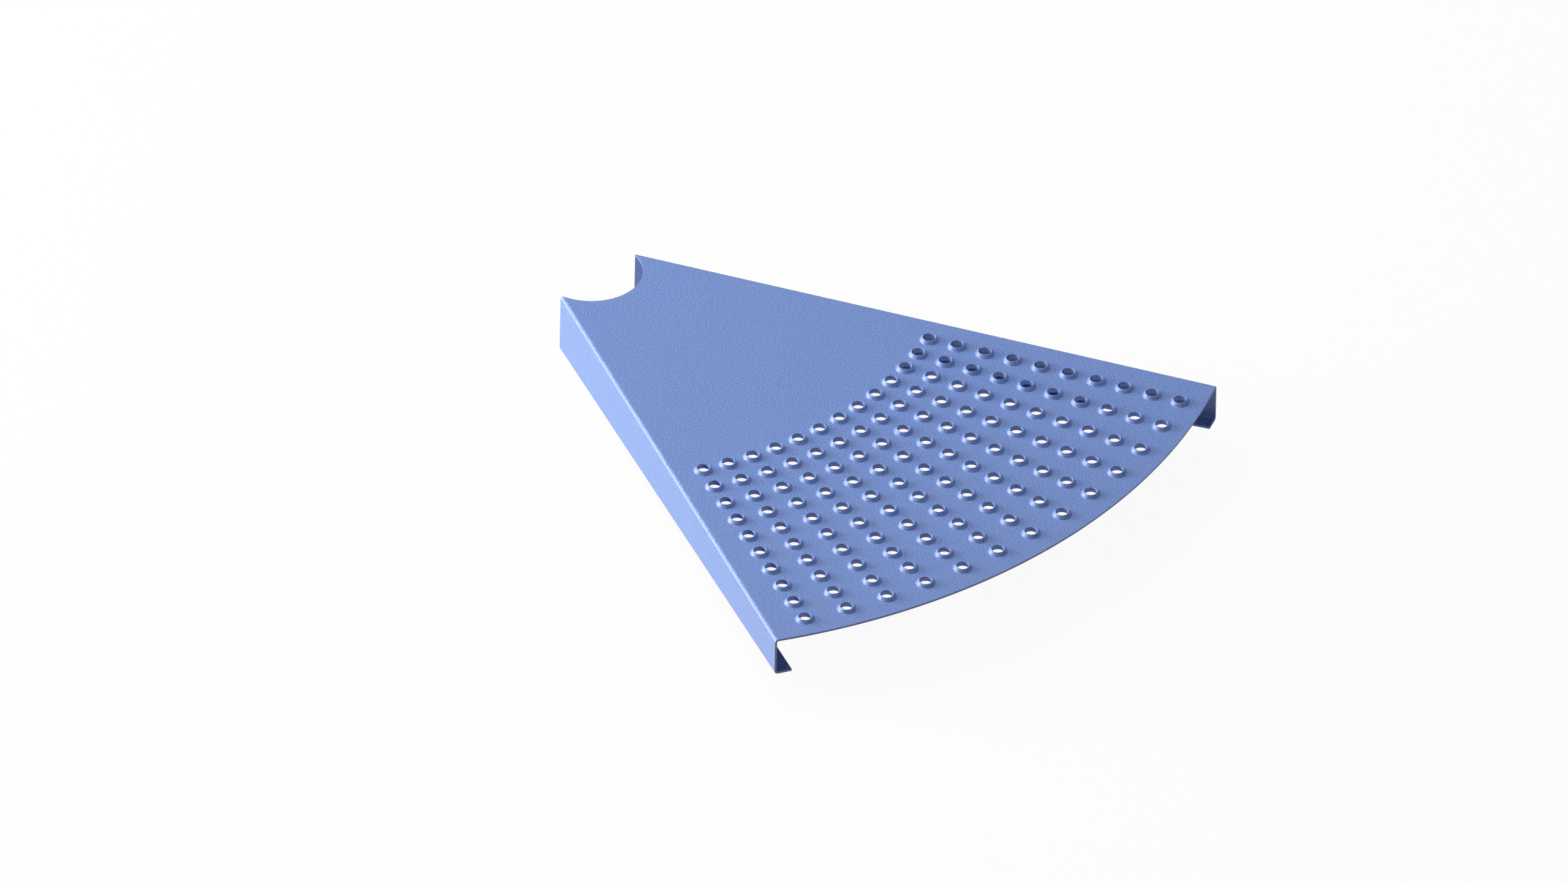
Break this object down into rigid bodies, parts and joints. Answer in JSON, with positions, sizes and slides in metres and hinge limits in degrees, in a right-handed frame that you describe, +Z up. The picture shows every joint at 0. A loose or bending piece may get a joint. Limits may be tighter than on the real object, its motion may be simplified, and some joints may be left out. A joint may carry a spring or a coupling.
{
  "type": "metal spiral stair tread",
  "caption": "Wedge-shaped spiral stair tread folded from one metal sheet, with a column notch, lipped side flanges and a polar field of raised round grip holes.",
  "frame": {"origin": "on the axis of the stair column, level with the walking surface", "axes": "+X outward from the column along the tread's middle line, +Z up, +Y across the tread"},
  "size_m": [0.8523, 0.8346, 0.0921],
  "materials": {
    "powder_coat": "fine-textured blue powder coat"
  },
  "bodies": {
    "root": {"stair_tread": "powder_coat"}
  },
  "joints": []
}
